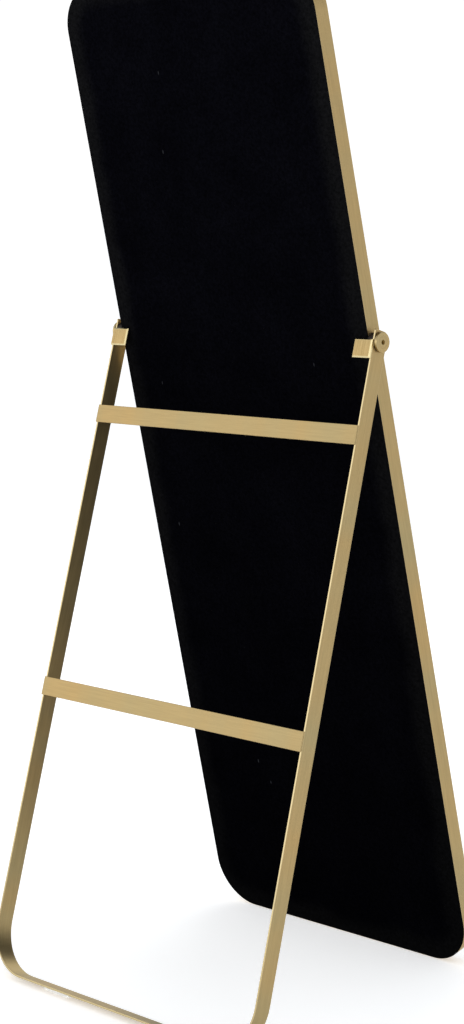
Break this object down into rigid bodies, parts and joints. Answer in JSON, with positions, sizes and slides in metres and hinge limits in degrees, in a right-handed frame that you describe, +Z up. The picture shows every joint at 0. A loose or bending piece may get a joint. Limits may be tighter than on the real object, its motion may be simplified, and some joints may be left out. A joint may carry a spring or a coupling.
{
  "type": "cheval floor mirror",
  "caption": "Full-length mirror with a thin metal band and velvet back, held leaning by a folding bow stand with crossbars and stop tabs.",
  "frame": {"origin": "on the floor, in the middle of the open mirror's footprint", "axes": "+Z up, the glass faces -Y, the stand opens towards +Y, +X is to the right of someone who looks into the glass"},
  "size_m": [0.5986, 0.5646, 1.6196],
  "materials": {
    "brushed_brass": "brushed along the bar, clear lacquered",
    "steel": "zinc plated",
    "silvered_glass": "polished float glass, silvered behind",
    "foam": "soft closed-cell sheet",
    "fibreboard": "bare pressed fibre",
    "pine": "planed",
    "black_velvet": "short pile, matt",
    "nylon": "moulded",
    "rubber": "clear silicone, moulded"
  },
  "bodies": {
    "mirror": {"mirror_frame": "brushed_brass", "pivot_block_left": "steel", "pivot_block_right": "steel", "batten_screws": "steel", "batten_left": "pine", "batten_right": "pine", "batten_top": "pine", "batten_middle": "pine", "batten_bottom": "pine", "backing_board": "fibreboard", "back_board": "fibreboard", "pivot_spacer_left": "nylon", "pivot_spacer_right": "nylon", "mirror_pad_left": "rubber", "mirror_pad_right": "rubber", "mirror_glass": "silvered_glass", "foam_liner": "foam", "velvet_cover": "black_velvet"},
    "stand": {"stand_bow": "brushed_brass", "upper_crossbar": "brushed_brass", "lower_crossbar": "brushed_brass", "stop_tab_left": "brushed_brass", "stop_tab_right": "brushed_brass", "stand_pad_left": "rubber", "stand_pad_right": "rubber", "leg_washer_left": "nylon", "leg_washer_right": "nylon"},
    "left_knob": {"pivot_bolt_left": "steel", "pivot_disc_left": "brushed_brass"},
    "right_knob": {"pivot_bolt_right": "steel", "pivot_disc_right": "brushed_brass"}
  },
  "joints": [
    {"name": "stand_fold", "type": "hinge", "parent": "mirror", "child": "stand", "pos_m": [0, -0.03616, 1.03285], "axis": [-1, 0, 0], "range_deg": [0, 29]},
    {"name": "left_knob_turn", "type": "hinge", "parent": "mirror", "child": "left_knob", "pos_m": [-0.29, -0.03616, 1.03285], "axis": [1, 0, 0], "continuous": true},
    {"name": "right_knob_turn", "type": "hinge", "parent": "mirror", "child": "right_knob", "pos_m": [0.29, -0.03616, 1.03285], "axis": [1, 0, 0], "continuous": true}
  ]
}
